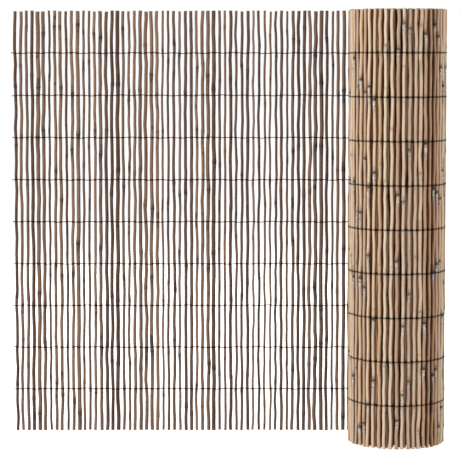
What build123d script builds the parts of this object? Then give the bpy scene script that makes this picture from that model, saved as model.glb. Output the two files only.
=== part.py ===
from build123d import *
from math import cos, pi, radians, sin, sqrt
import os
import random

# Reed screen, one metre high, partly unrolled: a flat stretch of mat that runs
# into a standing roll of the same mat. Bare canes stand side by side and nine
# rows of binding wire hold them. The screen stands on its cane ends.

# The mat
screen_height = 1000.0
cane_pitch = 13.4
cane_depth = 7.0
widest_cane = 8.4
narrowest_cane = 4.6
cane_corner = 1.6
wire_size = 1.4
wire_row_spacing = 100.0
wire_row_count = 9

# The flat stretch
flat_cane_count = 67
cane_levels = 3
cane_bend = 0.9
cane_taper = 0.10
cane_end_step = 2.5
level_canes_every = 5

# The roll
roll_radius = 116.8
roll_slack = 0.1
core_radius = 20.0
narrowest_roll_cane = 6.5
wire_turns = 0.97
strand_seat = 1.0
inner_steps_per_turn = 22

# Places that follow from the sizes above, with the origin under the middle of
# the whole screen. The mat runs along +X at the back of the roll and turns
# clockwise, seen from above: right, front, left and in under itself.
turn_pitch = cane_depth + 2 * wire_size + roll_slack
flat_length = flat_cane_count * cane_pitch
right_reach = roll_radius - turn_pitch / 4 + wire_size
left_reach = flat_length + wire_size
roll_x = (left_reach - right_reach) / 2
front_reach = roll_radius - turn_pitch / 2 + wire_size
back_reach = roll_radius + wire_size
roll_y = (front_reach - back_reach) / 2
edge_x = -flat_length
row_heights = [wire_row_spacing * (row + 1) for row in range(wire_row_count)]
carrying_row = wire_row_count // 2


def turned(turns, radius, aside=0.0):
    """Point of the roll, so many turns in from the flat stretch."""
    angle = pi / 2 - 2 * pi * turns
    x = radius * cos(angle) + aside * sin(angle)
    y = radius * sin(angle) - aside * cos(angle)
    return (x, y)


def face_radius(turns):
    """Radius of the mat's outer face after so many turns."""
    return roll_radius - turn_pitch * turns


def cane_turns(number):
    """Turns wound at a cane of the roll, counted from the flat stretch. The middle line's radius falls
    by one turn's pitch each turn, so after t turns 2 pi (R t - pitch t t / 2) of mat is wound."""
    middle = roll_radius - cane_depth / 2
    wound = cane_pitch * (number + 0.5)
    return (middle - sqrt(middle**2 - turn_pitch * wound / pi)) / turn_pitch


def outer_canes():
    """Place in turns and half width of each cane of the roll's outer turn."""
    widths = random.Random(11)
    canes = []
    while cane_turns(len(canes)) < 1.0:
        half_width = widths.uniform(narrowest_roll_cane, widest_cane) / 2
        canes.append((cane_turns(len(canes)), half_width))
    return canes


def cane_section(x, y, z, half_width):
    """Six-sided section of a cane, flat where the wires bear on it."""
    flat = half_width - cane_corner
    half_depth = cane_depth / 2
    return [
        (x - half_width, y, z),
        (x - flat, y - half_depth, z),
        (x + flat, y - half_depth, z),
        (x + half_width, y, z),
        (x + flat, y + half_depth, z),
        (x - flat, y + half_depth, z),
    ]


def flat_faced_bar(sections):
    """Solid with a flat face between each two edges of its sections."""
    faces = [Face(Wire.make_polygon(sections[0])), Face(Wire.make_polygon(sections[-1]))]
    for low, high in zip(sections, sections[1:]):
        for i in range(len(low)):
            j = (i + 1) % len(low)
            faces.append(Face(Wire.make_polygon([low[i], low[j], high[j], high[i]])))
    return Solid(Shell(faces))


def flat_cane(number, shape):
    """One cane of the flat stretch, a little bent, tapered and uneven at its ends."""
    centre = edge_x + cane_pitch * (number + 0.5)
    half_width = shape.uniform(narrowest_cane, widest_cane) / 2
    taper = shape.uniform(-cane_taper, cane_taper)
    bottom = 0.0 if number % level_canes_every == 0 else shape.uniform(0.0, cane_end_step)
    top = screen_height - (0.0 if number % level_canes_every == 2 else shape.uniform(0.0, cane_end_step))
    sections = []
    for level in range(cane_levels + 1):
        share = level / cane_levels
        x = centre + shape.uniform(-cane_bend, cane_bend)
        half = half_width * (1 + taper * (share - 0.5))
        sections.append(cane_section(x, roll_radius - cane_depth / 2, bottom + share * (top - bottom), half))
    return flat_faced_bar(sections)


def roll_cane(turns, half_width, shape):
    """One cane of the roll's outer turn, uneven at its ends."""
    middle = face_radius(turns) - cane_depth / 2
    bottom = shape.uniform(0.0, cane_end_step)
    top = screen_height - shape.uniform(0.0, cane_end_step)
    sections = [cane_section(0.0, middle, z, half_width) for z in (bottom, top)]
    return Rot(0, 0, -360 * turns) * flat_faced_bar(sections)


def front_strand(height):
    """Straight front strand of a row, along the canes of the flat stretch."""
    strand = Box(flat_length, wire_size, wire_size)
    return Pos(edge_x / 2, roll_radius - cane_depth - wire_size / 2, height) * strand


def meet(first, second, offset):
    """Corner where two lines meet; each has a direction, a distance and a share of the offset."""
    angle_a, distance_a, share_a = first
    angle_b, distance_b, share_b = second
    a = distance_a + offset * share_a
    b = distance_b + offset * share_b
    turn = sin(angle_b - angle_a)
    x = (a * sin(angle_b) - b * sin(angle_a)) / turn
    y = (b * cos(angle_a) - a * cos(angle_b)) / turn
    return (x, y)


def strands_between_turns(height):
    """A row's strands between the roll's outer turn and the next, seated on the next turn's wall."""
    canes = outer_canes()
    outer = [(0.0, face_radius(0.0) - cane_depth)]
    inner = [(0.0, face_radius(1.0) - strand_seat)]
    for turns, half_width in canes:
        crest = half_width - cane_corner
        outer.append(turned(turns, face_radius(turns) - cane_depth, -crest))
        outer.append(turned(turns, face_radius(turns) - cane_depth, crest))
        inner.append(turned(turns, face_radius(turns + 1.0) - strand_seat))
    outline = make_face(Polyline(*outer, *reversed(inner), close=True))
    return Pos(0, 0, height - wire_size / 2) * extrude(outline, wire_size)


def wire_path(from_front):
    """Lines of a row's wire in plan: front, round the edge cane, back, round the roll."""
    tangent_end = (0.0, 0.0, 0.0)
    front = (radians(270), cane_depth - roll_radius, 1.0)
    edge = (radians(180), flat_length, 1.0)
    back = (radians(90), roll_radius, 1.0)
    edge_start = (radians(270), cane_depth - roll_radius + wire_size, 0.0)
    lines = [tangent_end, front, edge, back] if from_front else [edge_start, edge, back]
    bound = [turns for turns, half_width in outer_canes() if turns < wire_turns]
    lines += [(pi / 2 - 2 * pi * turns, face_radius(turns), 1.0) for turns in bound]
    lines.append((-2 * pi * bound[-1], widest_cane / 2, 0.0))
    return lines


def binding_wire(row):
    """One row's wire round the mat. The canes of the flat stretch carry the middle row's front strand."""
    lines = wire_path(row != carrying_row)
    inner = [meet(a, b, 0.0) for a, b in zip(lines, lines[1:])]
    outer = [meet(a, b, wire_size) for a, b in zip(lines, lines[1:])]
    outline = make_face(Polyline(*inner, *reversed(outer), close=True))
    return Pos(0, 0, row_heights[row] - wire_size / 2) * extrude(outline, wire_size)


def unrolled_mat():
    """The flat stretch: canes, and the front strand of the middle row that carries them."""
    shape = random.Random(5)
    canes = [flat_cane(number, shape) for number in range(flat_cane_count)]
    return Part() + front_strand(row_heights[carrying_row]) + canes


def inner_turns():
    """The turns behind the outer one, a plain spiral wall wound inwards to the open core."""
    outer_count = len(outer_canes())
    first = cane_turns(outer_count - widest_cane / 2 / cane_pitch)
    last = (roll_radius - cane_depth - core_radius) / turn_pitch
    steps = range(inner_steps_per_turn + 1, int(last * inner_steps_per_turn))
    places = [first] + [step / inner_steps_per_turn for step in steps]
    outer = [turned(turns, face_radius(turns)) for turns in places]
    inner = [turned(turns, face_radius(turns) - cane_depth) for turns in places]
    return extrude(make_face(Polyline(*outer, *reversed(inner), close=True)), screen_height)


def rolled_mat():
    """The roll: the inner turns, and the outer turn's canes on the strands of the middle row."""
    shape = random.Random(7)
    canes = [roll_cane(turns, half_width, shape) for turns, half_width in outer_canes()]
    return Part() + inner_turns() + strands_between_turns(row_heights[carrying_row]) + canes


def build():
    """Every piece of the screen, by name, set over the origin."""
    pieces = {"unrolled_mat": unrolled_mat(), "rolled_mat": rolled_mat()}
    for row in range(wire_row_count):
        pieces[f"binding_wire_{row + 1}"] = binding_wire(row)
    return {name: Pos(roll_x, roll_y, 0) * piece for name, piece in pieces.items()}


os.makedirs("parts", exist_ok=True)
for name, piece in build().items():
    export_step(piece, f"parts/{name}.step")
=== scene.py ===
"""Looks of a standing reed screen, partly unrolled: canes, twisted binding wires and a plain studio."""
import random
from math import pi, radians
from types import SimpleNamespace

import bpy
import numpy as np
from bpy.props import FloatProperty, FloatVectorProperty, IntProperty, PointerProperty
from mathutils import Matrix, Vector


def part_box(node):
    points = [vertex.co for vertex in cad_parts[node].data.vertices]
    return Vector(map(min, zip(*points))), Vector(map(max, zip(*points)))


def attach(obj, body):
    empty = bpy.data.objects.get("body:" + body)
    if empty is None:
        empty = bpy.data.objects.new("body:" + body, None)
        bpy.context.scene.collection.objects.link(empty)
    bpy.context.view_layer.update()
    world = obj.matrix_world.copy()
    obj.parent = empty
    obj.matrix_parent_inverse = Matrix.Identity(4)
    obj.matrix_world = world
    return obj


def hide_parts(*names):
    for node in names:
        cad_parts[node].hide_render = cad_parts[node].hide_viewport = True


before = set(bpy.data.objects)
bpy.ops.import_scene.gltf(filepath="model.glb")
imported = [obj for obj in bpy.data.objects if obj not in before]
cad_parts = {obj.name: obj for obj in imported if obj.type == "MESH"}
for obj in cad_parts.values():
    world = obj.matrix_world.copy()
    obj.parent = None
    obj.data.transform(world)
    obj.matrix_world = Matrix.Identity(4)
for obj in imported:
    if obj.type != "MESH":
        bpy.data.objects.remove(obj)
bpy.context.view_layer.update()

bl_info = {
    "name": "Reed screen",
    "version": (1, 0, 0),
    "blender": (4, 5, 0),
    "location": "View3D > Sidebar > Reed screen",
    "description": "Builds the canes and binding wires of a partly unrolled reed screen",
    "category": "Object",
}

MM = 0.001
MAT_LOW, MAT_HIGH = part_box("unrolled_mat")
WIRE_ROWS = sorted(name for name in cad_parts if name.startswith("binding_wire_"))

# How the solids' canes were drawn: the seeds of the draws, the share by which a cane tapers, the
# stretches between its bends, and every how many canes one is full length at the foot or the top.
FLAT_CANE_SEED = 5
ROLL_WIDTH_SEED = 11
ROLL_END_SEED = 7
CANE_TAPER = 0.10
CANE_STRETCHES = 3
FULL_LENGTH_EVERY = 5

# Sides of a cane that is seen or hidden, and the rings in each stretch between two of its nodes.
SEEN_CANE = {"sides": 9, "steps": 13}
HIDDEN_CANE = {"sides": 7, "steps": 2}

# Sides of a strand of wire that is seen or hidden.
SEEN_STRAND_SIDES = 6
HIDDEN_STRAND_SIDES = 4

# Nodes that the materials use again and again.
MATH = "ShaderNodeMath"
MIX = "ShaderNodeMix"
NOISE = "ShaderNodeTexNoise"
RANGE = "ShaderNodeMapRange"


def linear(hex_colour):
    """Linear RGBA of an sRGB hex colour."""
    parts = np.array([int(hex_colour[i:i + 2], 16) for i in (1, 3, 5)]) / 255.0
    low = parts / 12.92
    high = ((parts + 0.055) / 1.055) ** 2.4
    return tuple(np.where(parts <= 0.04045, low, high)) + (1.0,)


class ReedMatSettings(bpy.types.PropertyGroup):
    """Sizes of the mat and of the roll."""

    cane_pitch: FloatProperty(
        name="Cane spacing", description="From one cane to the next along the mat",
        default=13.4 * MM, min=5 * MM, unit="LENGTH")
    cane_depth: FloatProperty(
        name="Mat depth", description="Thickness of the mat without its wires",
        default=7.0 * MM, min=2 * MM, unit="LENGTH")
    narrowest_cane: FloatProperty(
        name="Narrowest cane", description="In the flat stretch",
        default=4.6 * MM, min=2 * MM, unit="LENGTH")
    narrowest_roll_cane: FloatProperty(
        name="Narrowest roll cane", description="In the roll's outer turn",
        default=6.5 * MM, min=2 * MM, unit="LENGTH")
    widest_cane: FloatProperty(
        name="Widest cane", description="In the whole mat", default=8.4 * MM, min=2 * MM, unit="LENGTH")
    cane_bend: FloatProperty(
        name="Bend", description="Most that a cane strays to either side", default=0.9 * MM, unit="LENGTH")
    roll_stray: FloatProperty(
        name="Uneven spacing", description="Most that a cane of the roll lies off its even place",
        default=1.2 * MM, unit="LENGTH")
    end_step: FloatProperty(
        name="Uneven ends", description="Most that a cane is short at one end",
        default=2.5 * MM, min=0, unit="LENGTH")
    wire_size: FloatProperty(
        name="Wire", description="Thickness of one strand of binding wire",
        default=1.3 * MM, min=0.3 * MM, unit="LENGTH")
    wire_spacing: FloatProperty(
        name="Wire rows", description="From one row of wire to the next",
        default=100 * MM, min=20 * MM, unit="LENGTH")
    flat_cane_count: IntProperty(
        name="Flat canes", description="Canes in the flat stretch", default=67, min=2)
    roll_radius: FloatProperty(
        name="Roll radius", description="From the roll's middle to the mat's face where it leaves the roll",
        default=116.8 * MM, min=40 * MM, unit="LENGTH")
    turn_pitch: FloatProperty(
        name="Turn spacing", description="From one turn of the roll to the next",
        default=9.9 * MM, min=3 * MM, unit="LENGTH")
    core_radius: FloatProperty(
        name="Core radius", description="Open middle of the roll",
        default=20 * MM, min=5 * MM, unit="LENGTH")
    seed: IntProperty(name="Seed", description="Picks the canes", default=8, min=0)


class ReedColours(bpy.types.PropertyGroup):
    """Colours of the canes and of the wire."""

    pale_low: FloatVectorProperty(
        name="Bleached, darkest", description="Tan of the roll's darker canes",
        subtype="COLOR", size=4, default=linear("#9C7552"))
    pale_high: FloatVectorProperty(
        name="Bleached, palest", description="Cream of the roll's palest canes",
        subtype="COLOR", size=4, default=linear("#B29D80"))
    dark_low: FloatVectorProperty(
        name="Brown, darkest", description="Deep brown of the flat stretch's darker canes",
        subtype="COLOR", size=4, default=linear("#3A2417"))
    dark_high: FloatVectorProperty(
        name="Brown, palest", description="Lighter brown of the flat stretch",
        subtype="COLOR", size=4, default=linear("#765A45"))
    # Flank colours: painted shade, the red-brown of the clefts between the roll's canes.
    flank_shade_low: FloatVectorProperty(
        name="Flank, darkest", description="Red-brown between the roll's canes, darkest",
        subtype="COLOR", size=4, default=linear("#663A26"))
    flank_shade_high: FloatVectorProperty(
        name="Flank, palest", description="Red-brown between the roll's canes, palest",
        subtype="COLOR", size=4, default=linear("#9A6848"))
    wire: FloatVectorProperty(
        name="Wire", description="Darkened iron of the binding wire",
        subtype="COLOR", size=4, default=linear("#0F0A07"))


class ReedStudioSettings(bpy.types.PropertyGroup):
    """The camera, the floor and the lights."""

    camera_distance: FloatProperty(
        name="Distance", description="From the camera to the flat stretch",
        default=4.3, min=1, unit="LENGTH")
    camera_height: FloatProperty(
        name="Height", description="Camera above the floor", default=0.883, min=0, unit="LENGTH")
    camera_aside: FloatProperty(
        name="Aside", description="Camera to the right of the screen's middle",
        default=8.3 * MM, unit="LENGTH")
    focal_pixels: FloatProperty(
        name="Focal length", description="In pixels of the square picture", default=1816.5, min=100)
    picture_pixels: IntProperty(
        name="Picture", description="Side of the square picture", default=460, min=1)
    tilt: FloatProperty(
        name="Tilt", description="Camera below level", default=radians(3.458), unit="ROTATION")
    drop_pixels: FloatProperty(
        name="Drop", description="Pixels by which the lens is shifted down, to keep uprights near parallel",
        default=60.0)
    key_energy: FloatProperty(
        name="Key light", description="Power of the main lamp", default=248.0, unit="POWER")
    sky_strength: FloatProperty(
        name="Surround", description="Strength of the white surround", default=0.38)


def roll_centre(mat):
    """Middle of the roll in plan: where the flat stretch ends, one roll radius in from its back."""
    return MAT_HIGH[0], MAT_HIGH[1] - mat.roll_radius


def turns_at(mat, along):
    """Turns wound after a length of mat. The middle line's radius falls by one spacing a turn, so the
    length is 2 pi (R t - p t t / 2), solved here for t."""
    middle = mat.roll_radius - mat.cane_depth / 2
    wound = np.maximum(along, 0.0)
    return (middle - np.sqrt(middle ** 2 - mat.turn_pitch * wound / pi)) / mat.turn_pitch


def mat_place(mat, along, out):
    """Plan points of the mat, and its outward direction there. `along` is the length from where the
    mat leaves the roll, negative on the flat stretch; `out` is the distance from the middle line."""
    centre_x, centre_y = roll_centre(mat)
    middle = mat.roll_radius - mat.cane_depth / 2
    turns = turns_at(mat, along)
    angle = pi / 2 - 2 * pi * turns
    radius = middle - mat.turn_pitch * turns + out
    x = centre_x + radius * np.cos(angle) + np.minimum(along, 0.0)
    y = centre_y + radius * np.sin(angle)
    return np.stack([x, y], axis=-1), np.stack([np.cos(angle), np.sin(angle)], axis=-1)


def solid_shapes(mat, roll_count):
    """Half width, taper, two end steps and bends of each cane of the flat stretch and of the outer
    turn, drawn in the same order as for its solid, so that each cane starts from its solid's shape."""
    draw = random.Random(FLAT_CANE_SEED)
    shapes = []
    for number in range(mat.flat_cane_count):
        half_width = draw.uniform(mat.narrowest_cane, mat.widest_cane) / 2
        taper = draw.uniform(-CANE_TAPER, CANE_TAPER)
        low = 0.0 if number % FULL_LENGTH_EVERY == 0 else draw.uniform(0.0, mat.end_step)
        high = 0.0 if number % FULL_LENGTH_EVERY == 2 else draw.uniform(0.0, mat.end_step)
        bends = [draw.uniform(-mat.cane_bend, mat.cane_bend) for level in range(CANE_STRETCHES + 1)]
        shapes.append([half_width, taper, low, high] + bends)
    widths = random.Random(ROLL_WIDTH_SEED)
    ends = random.Random(ROLL_END_SEED)
    for number in range(roll_count):
        half_width = widths.uniform(mat.narrowest_roll_cane, mat.widest_cane) / 2
        low, high = ends.uniform(0.0, mat.end_step), ends.uniform(0.0, mat.end_step)
        shapes.append([half_width, 0.0, low, high] + [0.0] * (CANE_STRETCHES + 1))
    return np.array(shapes)


class Canes:
    """The canes of the whole mat, each with its own draws for size, bends, nodes and colour. The flat
    stretch and the outer turn start from their solids' draws, and differ from them by what follows."""

    # A round cane looks thinner than its six-sided solid, so it is drawn a little wider. The roll's
    # canes also differ more from one another.
    flat_widening = 1.09
    roll_widening = (0.95, 1.25)
    hidden_radius = (2.9 * MM, 3.6 * MM)
    # Draws to a power over 1 leave most ends of the inner turns nearly level. Canes with a solid keep
    # half of its step at the foot. The feet of the inner turns are raised by a share of the step, out
    # of sight behind the outer turn.
    hidden_end_power = 1.5
    known_foot_share = 0.5
    inner_foot_rise = 0.8
    # How far in the outer turn's canes lie from the ring of wire, some of them pressing outwards, and
    # how far the second turn's canes stand out from its middle line into the gaps between them.
    recess = (-0.5 * MM, 1.1 * MM)
    second_turn_out = 1.2 * MM
    # One node in each quarter of the height, away from the quarter's ends.
    node_count = 4
    node_place = (0.12, 0.88)
    # Three waves bend each cane, more in the roll.
    wave_lengths = np.array([62, 115, 230]) * MM
    wave_length_spread = (0.8, 1.25)
    wave_heights = np.array([0.32, 0.5, 0.7]) * MM
    wave_height_spread = (0.3, 1.5)
    roll_wave_gain = 1.3
    # How grey the canes have weathered, and the share of them with strongly marked nodes.
    grey_mean = 0.33
    grey_spread = 0.36
    marked_share = 0.55
    strong_mark = (0.65, 1.0)
    weak_mark = (0.0, 0.3)

    def __init__(self, mat):
        roll_turns = (mat.roll_radius - mat.cane_depth - mat.core_radius) / mat.turn_pitch
        middle = mat.roll_radius - mat.cane_depth / 2
        roll_length = 2 * pi * (middle * roll_turns - mat.turn_pitch * roll_turns ** 2 / 2)
        self.count = mat.flat_cane_count + int(roll_length / mat.cane_pitch)
        self.along = (np.arange(self.count) - mat.flat_cane_count + 0.5) * mat.cane_pitch
        self.turns = turns_at(mat, self.along)
        self.flat = self.along < 0
        self.height = MAT_HIGH[2]
        rng = np.random.default_rng(mat.seed)
        self.draw_sizes(mat, rng)
        self.draw_waves(rng)
        self.draw_colours(rng)

    def draw_sizes(self, mat, rng):
        """Radius, taper, ends and bends of each cane, and how far it stands out from the mat's middle
        line. The photograph shows the tops nearly level, so a known cane's step there is squared. The
        recess has its own draws, so that it can change and leave the others as they are."""
        n = self.count
        flats = mat.flat_cane_count
        solid = solid_shapes(mat, int(np.sum(self.turns < 1.0)) - flats)
        known = len(solid)
        self.radius = rng.uniform(*self.hidden_radius, n)
        self.taper = rng.uniform(-CANE_TAPER, CANE_TAPER, n)
        self.low = rng.random(n) ** self.hidden_end_power * mat.end_step
        self.high = rng.random(n) ** self.hidden_end_power * mat.end_step
        self.bends = rng.uniform(-mat.cane_bend, mat.cane_bend, (n, CANE_STRETCHES + 1))
        self.radius[:known], self.taper[:known], self.low[:known], self.high[:known] = solid[:, :4].T
        self.low[:known] *= self.known_foot_share
        self.high[:known] *= self.high[:known] / mat.end_step
        self.bends[:flats] = solid[:flats, 4:]
        self.bends[flats:] += rng.uniform(-mat.roll_stray, mat.roll_stray, n - flats)[:, None]
        self.radius[flats:] *= rng.uniform(*self.roll_widening, n - flats)
        self.radius[:flats] *= self.flat_widening
        self.low[self.turns >= 1.0] += mat.end_step * self.inner_foot_rise
        self.high = self.height - self.high
        recess = np.random.default_rng(mat.seed + 1).uniform(*self.recess, n)
        under_wire = mat.cane_depth / 2 - self.radius - recess
        zones = [self.flat, self.turns < 1.0, self.turns < 2.0]
        self.out = np.select(zones, [0.0, under_wire, self.second_turn_out], 0.0)

    def draw_waves(self, rng):
        """Each cane's oval, the heights of its nodes, and the waves of its middle line."""
        n = self.count
        self.round_phase = rng.uniform(0, 2 * pi, n)
        quarters = np.arange(self.node_count) + rng.uniform(*self.node_place, (n, self.node_count))
        self.nodes = quarters / self.node_count * self.height
        waves = (n, len(self.wave_lengths))
        self.wave_number = 2 * pi / (self.wave_lengths * rng.uniform(*self.wave_length_spread, waves))
        self.wave_phase = rng.uniform(0, 2 * pi, waves + (2,))
        gain = np.where(self.flat, 1.0, self.roll_wave_gain)[:, None]
        self.wave_size = self.wave_heights * rng.uniform(*self.wave_height_spread, waves) * gain

    def draw_colours(self, rng):
        """Each cane's tone from dark to light, how grey it is, how marked its nodes are, and a number
        of its own for its patterns. Further in than two turns the canes are painted dark, as shade deep in
        the roll."""
        n = self.count
        # Zero tone further in than two turns: painted shade deep in the roll.
        self.tone = rng.random(n) * (self.turns < 2.0)
        self.grey = np.clip(rng.normal(self.grey_mean, self.grey_spread, n), 0, 1)
        marked = rng.random(n) < self.marked_share
        self.mark = np.where(marked, rng.uniform(*self.strong_mark, n), rng.uniform(*self.weak_mark, n))
        self.seed = rng.random(n)

    def pick(self, chosen):
        """The same canes, cut down to those chosen."""
        part = object.__new__(Canes)
        for name, value in vars(self).items():
            whole = isinstance(value, np.ndarray) and len(value) == self.count
            setattr(part, name, value[chosen] if whole else value)
        part.count = int(np.sum(chosen))
        return part

    def sway(self, z):
        """Shift of each cane's middle line at heights z (canes, rings), along the mat and out of it:
        an eased line through the cane's bends, its own distance out, and three sine waves, which move
        it half as much out of the mat as along it."""
        level = np.clip(z / self.height * CANE_STRETCHES, 0, CANE_STRETCHES)
        start = np.minimum(level.astype(int), CANE_STRETCHES - 1)
        ease = 0.5 - 0.5 * np.cos(pi * (level - start))
        before = np.take_along_axis(self.bends, start, axis=1)
        after = np.take_along_axis(self.bends, start + 1, axis=1)
        angle = z[:, :, None, None] * self.wave_number[:, None, :, None] + self.wave_phase[:, None]
        shift = (np.sin(angle) * self.wave_size[:, None, :, None]).sum(axis=2)
        return shift[..., 0] + before + (after - before) * ease, self.out[:, None] + 0.5 * shift[..., 1]

    def thickness(self, z):
        """Radius at heights z: a straight taper, a narrow bell-shaped bulge at each node, and a leaf
        sheath that thickens the cane for a hand's width above the node."""
        bulge_share, bulge_reach = 0.15, 2.2 * MM
        sheath_share, sheath_reach = 0.045, 70 * MM
        rise = z[:, :, None] - self.nodes[:, None, :]
        bulge = bulge_share * np.exp(-(rise / bulge_reach) ** 2).sum(axis=2)
        above = np.where(rise > 0, rise, 1.0).min(axis=2)
        sheath = sheath_share * np.exp(-(above / sheath_reach) ** 4) * self.mark[:, None]
        return self.radius[:, None] * (1 + self.taper[:, None] * (z / self.height - 0.5) + bulge + sheath)


def new_piece(name, points, quads, caps=()):
    """Mesh object from points, an array of quads and end faces of equal size, smooth all over."""
    mesh = bpy.data.meshes.new(name)
    caps = np.asarray(caps, dtype=np.int64)
    corner_total = quads.size + caps.size
    sizes = np.concatenate([np.full(len(quads), 4), np.full(len(caps), caps.shape[1] if caps.size else 0)])
    mesh.vertices.add(len(points))
    mesh.vertices.foreach_set("co", points.astype(np.float32).ravel())
    mesh.loops.add(corner_total)
    mesh.loops.foreach_set("vertex_index", np.concatenate([quads.ravel(), caps.ravel()]).astype(np.int32))
    mesh.polygons.add(len(sizes))
    starts = np.concatenate([[0], np.cumsum(sizes)[:-1]])
    mesh.polygons.foreach_set("loop_start", starts.astype(np.int32))
    mesh.polygons.foreach_set("use_smooth", np.ones(len(sizes), dtype=bool))
    mesh.update(calc_edges=True)
    mesh.validate()
    piece = bpy.data.objects.new(name, mesh)
    bpy.context.scene.collection.objects.link(piece)
    return piece


def tube_faces(tubes, rings, sides):
    """Quads round and along each tube of a (tubes, rings, sides) grid, and a face at each of its ends."""
    index = np.arange(tubes * rings * sides).reshape(tubes, rings, sides)
    here = index[:, :-1]
    above = index[:, 1:]
    quads = np.stack([here, np.roll(here, -1, axis=2), np.roll(above, -1, axis=2), above], axis=-1)
    caps = np.concatenate([index[:, 0, ::-1], index[:, -1]])
    return quads.reshape(-1, 4), caps


def set_attribute(piece, name, values):
    """Stores one number for each point, which a material reads by name."""
    layer = piece.data.attributes.new(name, "FLOAT", "POINT")
    layer.data.foreach_set("value", np.ascontiguousarray(values, dtype=np.float32).ravel())


def body_heights(canes, steps):
    """Ring heights (canes, rings): each stretch between a cane's ends and nodes is cut at the same
    shares of its length, closer near the nodes. It keeps clear of the rims and of the nodes' crests."""
    rim_margin = 1.4 * MM
    node_margin = 0.6 * MM
    ease = np.linspace(0, 1, steps)
    shares = ease + 0.5 * (0.5 - 0.5 * np.cos(pi * ease) - ease)
    low = canes.low[:, None] + rim_margin
    high = canes.high[:, None] - rim_margin
    bounds = np.concatenate([low, canes.nodes, high], axis=1)
    start = bounds[:, :-1, None] + np.array([0.0] + [node_margin] * canes.node_count)[None, :, None]
    stop = bounds[:, 1:, None] - np.array([node_margin] * canes.node_count + [0.0])[None, :, None]
    return (start + (stop - start) * shares).reshape(canes.count, -1)


def cane_piece(name, mat, canes, bleach, damp, sides, steps):
    """All the chosen canes as one mesh. Each is a round tube on its swaying middle line, with rounded
    rims and a blind hollow at both ends. The bleached share gives each cane's part of pale outer face,
    held back on the roll's flanks as painted shade, and the other share is painted shade that darkens
    a cane where it lies behind the roll's outer canes."""
    ovalness = 0.05
    # The hollow's floor, its mouth, the sawn wall's outer edge and the start of the skin: how far each
    # lies from the cane's end, and its share of the radius.
    rim_depth = np.array([4.5, 0.4, 0.0, 0.3]) * MM
    rim_share = np.array([0.42, 0.52, 0.93, 1.0])
    body = body_heights(canes, steps)
    foot = canes.low[:, None] + rim_depth
    top = canes.high[:, None] - rim_depth[::-1]
    z = np.concatenate([foot, body, top], axis=1)
    share = np.concatenate([rim_share, np.ones(body.shape[1]), rim_share[::-1]])
    along_shift, out_shift = canes.sway(z)
    place, outward = mat_place(mat, canes.along[:, None] + along_shift, out_shift)
    onward = np.stack([outward[..., 1], -outward[..., 0]], axis=-1)
    angle = np.linspace(0, 2 * pi, sides, endpoint=False)
    oval = 1 + ovalness * np.cos(2 * angle + canes.round_phase[:, None])
    radius = (canes.thickness(z) * share)[:, :, None] * oval[:, None, :]
    plan = (place[:, :, None] + radius[..., None] * (
        np.cos(angle)[:, None] * onward[:, :, None] + np.sin(angle)[:, None] * outward[:, :, None]))
    height = np.broadcast_to(z[:, :, None, None], plan.shape[:3] + (1,))
    points = np.concatenate([plan, height], axis=-1)
    quads, caps = tube_faces(canes.count, z.shape[1], sides)
    piece = new_piece(name, points.reshape(-1, 3), quads, caps)

    # How far off the nearest node is, and the next one above, as shares of the reach of their marks.
    mark_reach = 60 * MM
    grid = np.ones(points.shape[:3])
    rise = z[:, :, None] - canes.nodes[:, None, :]
    near = np.clip(np.abs(rise).min(axis=2) / mark_reach, 0, 1)
    below = np.clip(np.where(rise < 0, -rise, 1.0).min(axis=2) / mark_reach, 0, 1)
    # The pale face begins a little outside a flat cane's sides. On the roll the flanks are painted
    # shade: the pale face begins behind the sides of some canes, and of others halfway from there to
    # the crest.
    edge = np.where(canes.flat, 0.15, 0.6 * canes.seed - 0.08)[:, None]
    fade = np.where(canes.flat, 0.4, 0.5)[:, None]
    unshaded_face = np.clip((np.sin(angle) - edge) / fade, 0, 1)
    # At the foot only the hollow and its mouth are pale, and the skin's colour runs on over the edge,
    # as the photograph shows it. At the top the whole sawn wall is pale.
    cut = np.zeros(z.shape[1])
    cut[:2] = cut[-3:] = 1.0
    set_attribute(piece, "near_node", grid * near[:, :, None])
    set_attribute(piece, "below_node", grid * below[:, :, None])
    set_attribute(piece, "bleach", grid * bleach[:, None, None] * unshaded_face[:, None, :])
    set_attribute(piece, "cut_end", grid * cut[None, :, None])
    # Painted shade where a cane lies behind the roll's outer canes.
    set_attribute(piece, "damp", grid * damp[:, None, None])
    for attribute in ("tone", "grey", "mark", "seed"):
        set_attribute(piece, attribute, grid * getattr(canes, attribute)[:, None, None])
    return piece


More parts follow.
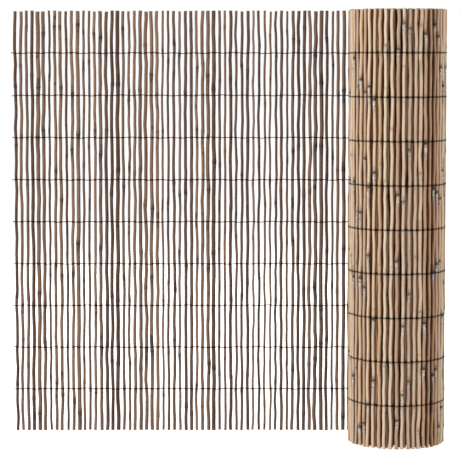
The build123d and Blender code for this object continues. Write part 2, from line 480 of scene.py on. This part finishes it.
def strand_path(mat, canes, height, side, gap_steps, hug_steps, half_twists):
    """Middle line of one strand of a row. Over a cane it follows a circle round it, and between two
    canes it turns about its partner by the half twists, so that the strands change sides. The whole
    row wanders up and down by two sine waves. In the roll the twist is looser than on the flat."""
    # How far a strand follows its cane to each side of the crest, and how far its two ends stick out.
    hug_reach = radians(76)
    last_stretch = 4 * MM
    tail_length = 4.5 * MM
    # Half the distance between the two strands, in thicknesses of the wire.
    tight_twist, loose_twist = 0.5, 1.6
    row = np.full((canes.count, 1), height)
    along_shift, out_shift = (shift[:, 0] for shift in canes.sway(row))
    centre = canes.along + along_shift
    reach = canes.thickness(row)[:, 0] + mat.wire_size / 2
    strand = mat.wire_size * np.where(canes.flat, tight_twist, loose_twist)[:, None]
    turn = np.where(np.arange(canes.count) % 2 == 0, 1.0, -1.0) ** (half_twists % 2) * side
    hug_angle = np.linspace(-1, 1, hug_steps) * hug_reach
    hug_along = centre[:, None] + reach[:, None] * np.sin(hug_angle)
    hug_out = out_shift[:, None] + turn[:, None] * np.maximum(reach[:, None] * np.cos(hug_angle), strand)
    hug_z = np.zeros_like(hug_along)
    share = np.linspace(0, 1, gap_steps + 2)[1:-1]
    phase = share * pi * half_twists
    start = hug_along[:, -1]
    stop = np.append(hug_along[1:, 0], hug_along[-1, -1] + last_stretch)
    next_shift = np.append(out_shift[1:], out_shift[-1])
    gap_along = start[:, None] + (stop - start)[:, None] * share
    gap_out = out_shift[:, None] + (next_shift - out_shift)[:, None] * share
    gap_out = gap_out + turn[:, None] * strand * np.cos(phase)
    gap_z = turn[:, None] * strand * np.sin(phase)
    tail = hug_along[0, 0] - (1 - share) * tail_length
    tail_out = out_shift[0] + side * strand[0] * np.cos(phase[::-1])
    tail_z = side * strand[0] * np.sin(phase[::-1])
    along = np.concatenate([tail, np.concatenate([hug_along, gap_along], axis=1).ravel()])
    out = np.concatenate([tail_out, np.concatenate([hug_out, gap_out], axis=1).ravel()])
    rise = np.concatenate([tail_z, np.concatenate([hug_z, gap_z], axis=1).ravel()])
    # The waves are 203 mm and 48 mm long, and start elsewhere in each row.
    wander = 0.5 * MM * np.sin(along * 31 + height * 57) + 0.8 * MM * np.sin(along * 131 + height * 91)
    plan, _ = mat_place(mat, along, out)
    return np.column_stack([plan, height + rise + wander])


def strand_tube(path, radius, sides):
    """Tube round a path: rings square to its direction, their first axis level."""
    ahead = np.gradient(path, axis=0)
    ahead /= np.linalg.norm(ahead, axis=1, keepdims=True)
    level = np.cross(ahead, [0.0, 0.0, 1.0])
    level /= np.linalg.norm(level, axis=1, keepdims=True)
    lift = np.cross(ahead, level)
    angle = np.linspace(0, 2 * pi, sides, endpoint=False)[:, None]
    return path[:, None] + radius * (np.cos(angle) * level[:, None] + np.sin(angle) * lift[:, None])


def strands_piece(name, strands):
    """One mesh of several tubes, each (rings, sides, 3). Ends with four sides join the quads."""
    quads = []
    caps = []
    start = 0
    for strand in strands:
        rings, sides = strand.shape[:2]
        faces, ends = tube_faces(1, rings, sides)
        quads.append(faces + start)
        (quads if sides == 4 else caps).append(ends + start)
        start += rings * sides
    points = np.concatenate([strand.reshape(-1, 3) for strand in strands])
    return new_piece(name, points, np.concatenate(quads), np.concatenate(caps))


def add_node(tree, kind, inputs=None, **settings):
    """Adds a node with its settings. An input takes a value, a socket or a node, which stands for its
    first output in use. Some inputs share a name and go by number: a colour mix has its share at 0
    and its two colours at 6 and 7, and a range has its value at 0, and runs from 1 to 2."""
    node = tree.nodes.new(kind)
    for name, value in settings.items():
        setattr(node, name, value)
    for key, value in (inputs or {}).items():
        if isinstance(value, bpy.types.Node):
            value = next(socket for socket in value.outputs if socket.enabled)
        if isinstance(value, bpy.types.NodeSocket):
            tree.links.new(value, node.inputs[key])
        else:
            node.inputs[key].default_value = value
    return node


def new_material(name):
    """Empty node material: its tree, its shader and the material."""
    material = bpy.data.materials.new(name)
    material.use_nodes = True
    tree = material.node_tree
    tree.nodes.clear()
    shader = add_node(tree, "ShaderNodeBsdfPrincipled")
    add_node(tree, "ShaderNodeOutputMaterial", {"Surface": shader})
    return material, tree, shader


def reed_patterns(tree):
    """What the reed's finish is worked out from: what each cane's points say, the height, and three
    noises, whose scales are in waves per metre."""
    reed = SimpleNamespace()
    for name in ("seed", "tone", "grey", "mark", "bleach", "damp", "near_node", "below_node", "cut_end"):
        setattr(reed, name, add_node(tree, "ShaderNodeAttribute", attribute_name=name).outputs["Fac"])
    place = add_node(tree, "ShaderNodeTexCoord").outputs["Object"]
    reed.height = add_node(tree, "ShaderNodeSeparateXYZ", {"Vector": place}).outputs["Z"]

    # Streaks of the skin are some 35 mm long and drawn 0.8 mm wide, because finer ones, like those of
    # the real fibres, would not show.
    fine = add_node(tree, "ShaderNodeMapping", {"Vector": place, "Scale": (1250, 1250, 28)})
    reed.streak = add_node(tree, NOISE, {"Vector": fine, "Scale": 1.0, "Detail": 2.0, "Roughness": 0.6})
    # Patches run along one cane only, 30 to 90 mm long.
    lane = add_node(tree, MATH, {0: reed.seed, 1: 97.0}, operation="MULTIPLY")
    up = add_node(tree, MATH, {0: reed.height, 1: 16.0}, operation="MULTIPLY")
    own = add_node(tree, "ShaderNodeCombineXYZ", {"X": lane, "Z": up})
    reed.patch = add_node(tree, NOISE, {"Vector": own, "Scale": 1.0, "Detail": 3.0, "Roughness": 0.55})
    # Blots are 3 to 6 mm across.
    coarse = add_node(tree, "ShaderNodeMapping", {"Vector": place, "Scale": (260, 260, 190)})
    reed.blot = add_node(tree, NOISE, {"Vector": coarse, "Scale": 1.0, "Detail": 3.0, "Roughness": 0.65})
    return reed


def reed_skin(tree, reed, colours, flank):
    """The bare skin: a level from dark to light that is the cane's tone, moved by its streaks and
    patches, in browns and in pale colours, which the bleached share mixes. On the roll's outer turns
    the browns are painted shade on the flanks between canes. Some canes are greyer."""
    streaks = add_node(tree, MATH, {0: reed.streak, 1: 0.5}, operation="SUBTRACT")
    patches = add_node(tree, MATH, {0: reed.patch, 1: 0.5}, operation="SUBTRACT")
    level = add_node(tree, MATH, {0: streaks, 1: 0.6, 2: reed.tone}, operation="MULTIPLY_ADD")
    level = add_node(tree, MATH, {0: patches, 1: 1.1, 2: level}, operation="MULTIPLY_ADD", use_clamp=True)
    pale = add_node(tree, MIX, {0: level, 6: tuple(colours.pale_low), 7: tuple(colours.pale_high)},
                    data_type="RGBA")
    brown = add_node(tree, MIX, {0: level, 6: tuple(flank[0]), 7: tuple(flank[1])}, data_type="RGBA")
    skin = add_node(tree, MIX, {0: reed.bleach, 6: brown, 7: pale}, data_type="RGBA")
    grey = add_node(tree, MIX, {0: level, 6: linear("#8E796A"), 7: linear("#B4A799")}, data_type="RGBA")
    weathered = add_node(tree, MIX, {0: reed.bleach, 6: linear("#5D4F46"), 7: grey}, data_type="RGBA")
    share = add_node(tree, MATH, {0: reed.bleach, 1: 0.45, 2: 0.35}, operation="MULTIPLY_ADD")
    share = add_node(tree, MATH, {0: reed.grey, 1: share}, operation="MULTIPLY")
    return add_node(tree, MIX, {0: share, 6: skin, 7: weathered}, data_type="RGBA")


def reed_stains(tree, reed, skin):
    """The skin with the rests of its leaf sheaths and its long dark stains."""
    # Below a node the grey rest of the leaf sheath clings to some canes for 60 mm.
    rest = add_node(tree, MIX, {0: reed.bleach, 6: linear("#493C35"), 7: linear("#907E72")},
                    data_type="RGBA")
    share = add_node(tree, RANGE, {0: reed.below_node, 1: 1.0, 2: 0.35}, interpolation_type="SMOOTHSTEP")
    share = add_node(tree, MATH, {0: share, 1: reed.mark}, operation="MULTIPLY")
    share = add_node(tree, MATH, {0: share, 1: 0.55}, operation="MULTIPLY")
    skin = add_node(tree, MIX, {0: share, 6: skin, 7: rest}, data_type="RGBA")

    # Stains follow the patches, with more of them near the nodes and on the brown side.
    dirt = add_node(tree, MIX, {0: reed.bleach, 6: linear("#201713"), 7: linear("#66503F")},
                    data_type="RGBA")
    crowd = add_node(tree, RANGE, {0: reed.near_node, 1: 0.8, 2: 0.0}, interpolation_type="SMOOTHSTEP")
    crowd = add_node(tree, MATH, {0: crowd, 1: reed.mark}, operation="MULTIPLY")
    stain = add_node(tree, MATH, {0: crowd, 1: 0.09, 2: reed.patch}, operation="MULTIPLY_ADD")
    stain = add_node(tree, RANGE, {0: stain, 1: 0.60, 2: 0.69}, interpolation_type="SMOOTHSTEP")
    mottle = add_node(tree, MATH, {0: reed.blot, 1: 0.8, 2: 0.5}, operation="MULTIPLY_ADD", use_clamp=True)
    stain = add_node(tree, MATH, {0: stain, 1: mottle}, operation="MULTIPLY")
    share = add_node(tree, MATH, {0: reed.bleach, 1: -0.5, 2: 0.9}, operation="MULTIPLY_ADD")
    share = add_node(tree, MATH, {0: stain, 1: share}, operation="MULTIPLY")
    return add_node(tree, MIX, {0: share, 6: skin, 7: dirt}, data_type="RGBA")


def reed_nodes(tree, reed, skin):
    """The skin with the dirt, the chalky band and the dark ring of each node, and the band's share."""
    # Dirt has gathered 15 mm above and below a node.
    beside = add_node(tree, RANGE, {0: reed.near_node, 1: 0.28, 2: 0.04}, interpolation_type="SMOOTHSTEP")
    blots = add_node(tree, RANGE, {0: reed.blot, 1: 0.35, 2: 0.55}, interpolation_type="SMOOTHSTEP")
    share = add_node(tree, MATH, {0: beside, 1: blots}, operation="MULTIPLY")
    share = add_node(tree, MATH, {0: share, 1: reed.mark}, operation="MULTIPLY")
    share = add_node(tree, MATH, {0: share, 1: 0.8}, operation="MULTIPLY")
    skin = add_node(tree, MIX, {0: share, 6: skin, 7: linear("#33251E")}, data_type="RGBA")

    # A chalky band hangs 25 mm below a node, mottled by the blots.
    upper = add_node(tree, RANGE, {0: reed.below_node, 1: 0.04, 2: 0.10}, interpolation_type="SMOOTHSTEP")
    lower = add_node(tree, RANGE, {0: reed.below_node, 1: 0.45, 2: 0.20}, interpolation_type="SMOOTHSTEP")
    band = add_node(tree, MATH, {0: upper, 1: lower}, operation="MULTIPLY")
    band = add_node(tree, MATH, {0: band, 1: reed.mark}, operation="MULTIPLY")
    chalk = add_node(tree, MIX, {0: reed.bleach, 6: linear("#574A42"), 7: linear("#C0B6AB")},
                     data_type="RGBA")
    soot = add_node(tree, MIX, {0: reed.bleach, 6: linear("#241915"), 7: linear("#5F5047")},
                    data_type="RGBA")
    blots = add_node(tree, RANGE, {0: reed.blot, 1: 0.40, 2: 0.56}, interpolation_type="SMOOTHSTEP")
    mottled = add_node(tree, MIX, {0: blots, 6: soot, 7: chalk}, data_type="RGBA")
    share = add_node(tree, MATH, {0: band, 1: 0.8}, operation="MULTIPLY")
    skin = add_node(tree, MIX, {0: share, 6: skin, 7: mottled}, data_type="RGBA")

    # The ring is 3 to 5 mm to either side of the node, with a ragged edge.
    ragged = add_node(tree, MATH, {0: reed.blot, 1: 0.05, 2: reed.near_node}, operation="MULTIPLY_ADD")
    ring = add_node(tree, RANGE, {0: ragged, 1: 0.085, 2: 0.05}, interpolation_type="SMOOTHSTEP")
    share = add_node(tree, MATH, {0: reed.mark, 1: 0.75, 2: 0.15}, operation="MULTIPLY_ADD")
    share = add_node(tree, MATH, {0: ring, 1: share}, operation="MULTIPLY")
    return add_node(tree, MIX, {0: share, 6: skin, 7: linear("#2C1F18")}, data_type="RGBA"), band


def reed_rust_and_wire_shadow(tree, reed, skin, wire_spacing):
    """The skin darkened for some 3 mm above and below each row of wire: partly a rust stain, partly
    painted shadow of the wire where it presses on the cane. It is most where the cane is brown or in
    painted shade. The distance to a row is a zigzag of the height, moved by the blots, and as it falls
    to nothing at the canes' ends too, what is beyond the outermost rows' half spacing is left out."""
    ragged, full_stain, last_stain = 1.2 * MM, 1.2 * MM, 3.3 * MM
    half_height = MAT_HIGH[2] / 2
    gap = add_node(tree, MATH, {0: reed.height, 1: wire_spacing / 2}, operation="PINGPONG")
    gap = add_node(tree, MATH, {0: gap, 1: ragged}, operation="SUBTRACT")
    gap = add_node(tree, MATH, {0: reed.blot, 1: 2 * ragged, 2: gap}, operation="MULTIPLY_ADD")
    close = add_node(tree, RANGE, {0: gap, 1: last_stain, 2: full_stain}, interpolation_type="SMOOTHSTEP")
    middle = add_node(tree, MATH, {0: reed.height, 1: half_height}, operation="SUBTRACT")
    middle = add_node(tree, MATH, {0: middle}, operation="ABSOLUTE")
    between_ends = add_node(tree, MATH, {0: middle, 1: half_height - wire_spacing / 2},
                            operation="LESS_THAN")
    rust = add_node(tree, MATH, {0: close, 1: between_ends}, operation="MULTIPLY")
    brown = add_node(tree, MATH, {0: reed.bleach, 1: -0.45, 2: 0.95}, operation="MULTIPLY_ADD")
    damp = add_node(tree, MATH, {0: reed.damp, 1: 2.5}, operation="MULTIPLY", use_clamp=True)
    share = add_node(tree, MATH, {0: brown, 1: damp}, operation="MAXIMUM")
    share = add_node(tree, MATH, {0: rust, 1: share}, operation="MULTIPLY")
    # Near-black towards the rows: rust stain and painted shadow of the wire.
    return add_node(tree, MIX, {0: share, 6: skin, 7: linear("#1C0E08")}, data_type="RGBA")


def dry_reed(name, colours, flank, wire_spacing):
    """Common reed, cut and dried, left in its own skin. The skin is smooth and a little waxy, so it
    has a soft satin gloss and fine streaks lengthwise; the side that was out in the open has bleached
    to cream and tan, the other stays brown, from the first to the second colour of `flank`. For the
    roll's outer turns that pair of colours is painted shade on the canes' flanks, between the canes.
    Nodes show as a dark ring over a chalky, stained band."""
    material, tree, shader = new_material(name)
    reed = reed_patterns(tree)
    skin = reed_skin(tree, reed, colours, flank)
    skin = reed_stains(tree, reed, skin)
    skin, band = reed_nodes(tree, reed, skin)
    skin = reed_rust_and_wire_shadow(tree, reed, skin, wire_spacing)

    # The sawn ends show the pale wall of the cane. The second turn is darkened towards red-brown by painted
    # shade where it lies behind the outer canes.
    share = add_node(tree, MATH, {0: reed.cut_end, 1: 0.8}, operation="MULTIPLY")
    skin = add_node(tree, MIX, {0: share, 6: skin, 7: linear("#BFAC8D")}, data_type="RGBA")
    skin = add_node(tree, MIX, {0: reed.damp, 6: skin, 7: linear("#552C17")}, data_type="RGBA")
    tree.links.new(skin.outputs[2], shader.inputs["Base Color"])

    # Streaks and chalk are rougher than the wax between them.
    rough = add_node(tree, MATH, {0: reed.streak, 1: 0.25, 2: 0.5}, operation="MULTIPLY_ADD")
    rough = add_node(tree, MATH, {0: band, 1: 0.2, 2: rough}, operation="MULTIPLY_ADD", use_clamp=True)
    tree.links.new(rough.outputs[0], shader.inputs["Roughness"])
    shader.inputs["Specular IOR Level"].default_value = 0.2
    relief = add_node(tree, MATH, {0: reed.blot, 1: 0.4, 2: reed.streak}, operation="MULTIPLY_ADD")
    bump = add_node(tree, "ShaderNodeBump", {"Strength": 0.55, "Distance": 0.35 * MM, "Height": relief})
    tree.links.new(bump.outputs[0], shader.inputs["Normal"])
    return material


def binding_iron(name, colours):
    """Annealed iron binding wire, drawn thin and twisted. Heat and weather have left it near black and
    dull, with brown rust in flecks of a few millimetres, so only its crests catch any light. Its oxide
    skin covers the metal, so it is shaded as a rough, dark solid and not as bare metal."""
    material, tree, shader = new_material(name)
    place = add_node(tree, "ShaderNodeTexCoord").outputs["Object"]
    rust = add_node(tree, NOISE, {"Vector": place, "Scale": 320.0, "Detail": 3.0})
    spread = add_node(tree, RANGE, {0: rust, 1: 0.54, 2: 0.72})
    colour = add_node(tree, MIX, {0: spread, 6: tuple(colours.wire), 7: linear("#2A170C")},
                      data_type="RGBA")
    rough = add_node(tree, RANGE, {0: rust, 1: 0.3, 2: 0.7, 3: 0.6, 4: 0.9})
    bump = add_node(tree, "ShaderNodeBump", {"Strength": 0.4, "Distance": 0.1 * MM, "Height": rust})
    tree.links.new(colour.outputs[2], shader.inputs["Base Color"])
    tree.links.new(rough.outputs[0], shader.inputs["Roughness"])
    tree.links.new(bump.outputs[0], shader.inputs["Normal"])
    shader.inputs["Metallic"].default_value = 0.0
    shader.inputs["Specular IOR Level"].default_value = 0.15
    return material


def studio_paper(name):
    """Matt white background paper, lit from below so that it gives an even, nearly shadowless ground.
    Its fibre is drawn 25 mm coarse, far coarser than a real sheet's, which would not show."""
    material, tree, shader = new_material(name)
    place = add_node(tree, "ShaderNodeTexCoord").outputs["Object"]
    fibre = add_node(tree, NOISE, {"Vector": place, "Scale": 40.0, "Detail": 4.0})
    tone = add_node(tree, MIX, {0: fibre, 6: linear("#E3E2E0"), 7: linear("#E9E8E6")}, data_type="RGBA")
    tree.links.new(tone.outputs[2], shader.inputs["Base Color"])
    shader.inputs["Roughness"].default_value = 0.9
    shader.inputs["Specular IOR Level"].default_value = 0.1
    shader.inputs["Emission Color"].default_value = (1, 1, 1, 1)
    shader.inputs["Emission Strength"].default_value = 0.74
    return material


def shared_material(name, maker, *args):
    """The material of that name, made once."""
    return bpy.data.materials.get(name) or maker(name, *args)


class REEDSCREEN_OT_flat_stretch(bpy.types.Operator):
    """Make the canes of the flat stretch"""

    bl_idname = "reedscreen.flat_stretch"
    bl_label = "Canes of the flat stretch"

    def execute(self, context):
        mat = context.scene.reed_mat
        colours = context.scene.reed_colours
        canes = Canes(mat)
        canes = canes.pick(canes.flat)
        # Their backs face out of the roll, so these have bleached nearly as much as its outside.
        bleach = np.full(canes.count, 0.95)
        # The flat stretch gets no painted shade.
        no_recess_shade = np.zeros(canes.count)
        piece = cane_piece("unrolled_canes", mat, canes, bleach, no_recess_shade, **SEEN_CANE)
        flank = (colours.dark_low, colours.dark_high)
        reed = shared_material("sheltered_reed", dry_reed, colours, flank, mat.wire_spacing)
        piece.data.materials.append(reed)
        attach(piece, "root")
        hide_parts("unrolled_mat")
        return {"FINISHED"}


class REEDSCREEN_OT_roll(bpy.types.Operator):
    """Make the canes of the roll, the two outer turns in full and the turns behind them plainer"""

    bl_idname = "reedscreen.roll"
    bl_label = "Canes of the roll"

    def execute(self, context):
        mat = context.scene.reed_mat
        colours = context.scene.reed_colours
        canes = Canes(mat)
        # The outer turns' flanks take the painted shade colours.
        flank = (colours.flank_shade_low, colours.flank_shade_high)
        outside = shared_material("bleached_reed_painted_flank_shade", dry_reed, colours, flank, mat.wire_spacing)
        flank = (colours.dark_low, colours.dark_high)
        inside = shared_material("sheltered_reed", dry_reed, colours, flank, mat.wire_spacing)
        rolled = ~canes.flat
        groups = {
            "roll_outer_canes": (rolled & (canes.turns < 2.0), outside, SEEN_CANE),
            "roll_inner_canes": (rolled & (canes.turns >= 2.0), inside, HIDDEN_CANE),
        }
        for name, (chosen, reed, detail) in groups.items():
            part = canes.pick(chosen)
            # Only the two outer turns take the pale face; the turns further in stay dark brown, as painted
            # shade deep in the roll.
            bleach = np.where(part.turns < 2.0, 1.0, 0.0)
            # Painted shade on the second turn behind the outer canes: some of its canes are nearly as dark
            # as the gaps, and the others much paler.
            second_turn_shade = np.where(part.seed < 0.3, 0.85, 0.3)
            damp = np.select([part.turns < 1.0, part.turns < 2.0], [0.0, second_turn_shade], 0.0)
            piece = cane_piece(name, mat, part, bleach, damp, **detail)
            piece.data.materials.append(reed)
            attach(piece, "root")
            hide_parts("rolled_mat")
        return {"FINISHED"}


class REEDSCREEN_OT_wires(bpy.types.Operator):
    """Make each row's two twisted strands, from the mat's edge to the middle of the roll"""

    bl_idname = "reedscreen.wires"
    bl_label = "Binding wires"

    def execute(self, context):
        mat = context.scene.reed_mat
        canes = Canes(mat)
        seen = canes.pick(canes.turns < 2.0)
        hidden = canes.pick(canes.turns >= 2.0)
        iron = shared_material("binding_iron", binding_iron, context.scene.reed_colours)
        for name in WIRE_ROWS:
            low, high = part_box(name)
            height = (low[2] + high[2]) / 2
            strands = []
            for side in (1.0, -1.0):
                path = strand_path(mat, seen, height, side, gap_steps=7, hug_steps=5, half_twists=3)
                strands.append(strand_tube(path, mat.wire_size / 2, SEEN_STRAND_SIDES))
                path = strand_path(mat, hidden, height, side, gap_steps=1, hug_steps=3, half_twists=1)
                strands.append(strand_tube(path, mat.wire_size / 2, HIDDEN_STRAND_SIDES))
            piece = strands_piece(name.replace("binding_wire", "twisted_wire"), strands)
            piece.data.materials.append(iron)
            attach(piece, "root")
            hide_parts(name)
        return {"FINISHED"}


class REEDSCREEN_OT_studio(bpy.types.Operator):
    """Set the floor, the soft lights and the camera"""

    bl_idname = "reedscreen.studio"
    bl_label = "Floor, lights and camera"

    def execute(self, context):
        scene = context.scene
        studio = scene.reed_studio
        floor_reach = 30.0
        corners = np.array([[-1, -1, 0], [1, -1, 0], [1, 1, 0], [-1, 1, 0]]) * floor_reach
        floor = new_piece("floor", corners, np.array([[0, 1, 2, 3]]))
        floor.data.materials.append(studio_paper("studio_paper"))

        world = bpy.data.worlds.new("white_surround")
        world.use_nodes = True
        tree = world.node_tree
        tree.nodes.clear()
        white = (1, 1, 1, 1)
        light = add_node(tree, "ShaderNodeBackground", {"Color": white, "Strength": studio.sky_strength})
        ground = add_node(tree, "ShaderNodeBackground", {"Color": white, "Strength": 1.0})
        seen = add_node(tree, "ShaderNodeLightPath").outputs["Is Camera Ray"]
        mix = add_node(tree, "ShaderNodeMixShader", {0: seen, 1: light, 2: ground})
        add_node(tree, "ShaderNodeOutputWorld", {"Surface": mix})
        scene.world = world

        # The main lamp stands at the front left, and two larger, weaker ones fill the right and the
        # back. All of them aim at the middle of the screen.
        aim = Vector((0.0, 0.0, MAT_HIGH[2] / 2))
        lamps = {
            "key": ((-3.2, -3.0, 2.4), 1.5, studio.key_energy),
            "side": ((3.4, -0.4, 2.0), 2.4, studio.key_energy * 0.28),
            "back": ((-1.0, 3.4, 2.6), 2.6, studio.key_energy * 0.3),
        }
        for name, (place, size, energy) in lamps.items():
            data = bpy.data.lights.new(name, "AREA")
            data.shape = "DISK"
            data.size = size
            data.energy = energy
            lamp = bpy.data.objects.new(name, data)
            lamp.location = place
            lamp.rotation_euler = (aim - Vector(place)).to_track_quat("-Z", "Y").to_euler()
            scene.collection.objects.link(lamp)

        data = bpy.data.cameras.new("camera")
        data.sensor_width = 36.0
        data.lens = data.sensor_width * studio.focal_pixels / studio.picture_pixels
        data.shift_y = -studio.drop_pixels / studio.picture_pixels
        camera = bpy.data.objects.new("camera", data)
        mat_middle = (MAT_LOW[1] + MAT_HIGH[1]) / 2
        camera.location = (studio.camera_aside, mat_middle - studio.camera_distance, studio.camera_height)
        camera.rotation_euler = (radians(90) - studio.tilt, 0, 0)
        scene.collection.objects.link(camera)
        scene.camera = camera
        scene.view_settings.view_transform = "Standard"
        return {"FINISHED"}


class REEDSCREEN_PT_panel(bpy.types.Panel):
    """Sidebar panel with the screen's sizes, colours and steps"""

    bl_idname = "REEDSCREEN_PT_panel"
    bl_label = "Reed screen"
    bl_space_type = "VIEW_3D"
    bl_region_type = "UI"
    bl_category = "Reed screen"

    def draw(self, context):
        scene = context.scene
        for settings in (scene.reed_mat, scene.reed_colours, scene.reed_studio):
            box = self.layout.box()
            for name in settings.__annotations__:
                box.prop(settings, name)
        for operator in OPERATORS:
            self.layout.operator(operator.bl_idname)


GROUPS = {"reed_mat": ReedMatSettings, "reed_colours": ReedColours, "reed_studio": ReedStudioSettings}
OPERATORS = (REEDSCREEN_OT_studio, REEDSCREEN_OT_flat_stretch, REEDSCREEN_OT_roll, REEDSCREEN_OT_wires)


def register():
    """Adds the settings, the steps and the panel."""
    for name, group in GROUPS.items():
        bpy.utils.register_class(group)
        setattr(bpy.types.Scene, name, PointerProperty(type=group))
    for operator in OPERATORS:
        bpy.utils.register_class(operator)
    bpy.utils.register_class(REEDSCREEN_PT_panel)


def unregister():
    """Takes them out again."""
    bpy.utils.unregister_class(REEDSCREEN_PT_panel)
    for operator in reversed(OPERATORS):
        bpy.utils.unregister_class(operator)
    for name, group in GROUPS.items():
        delattr(bpy.types.Scene, name)
        bpy.utils.unregister_class(group)


def main():
    """Registers the classes and runs each step."""
    register()
    bpy.ops.reedscreen.studio()
    bpy.ops.reedscreen.flat_stretch()
    bpy.ops.reedscreen.roll()
    bpy.ops.reedscreen.wires()


if __name__ == "__main__":
    main()
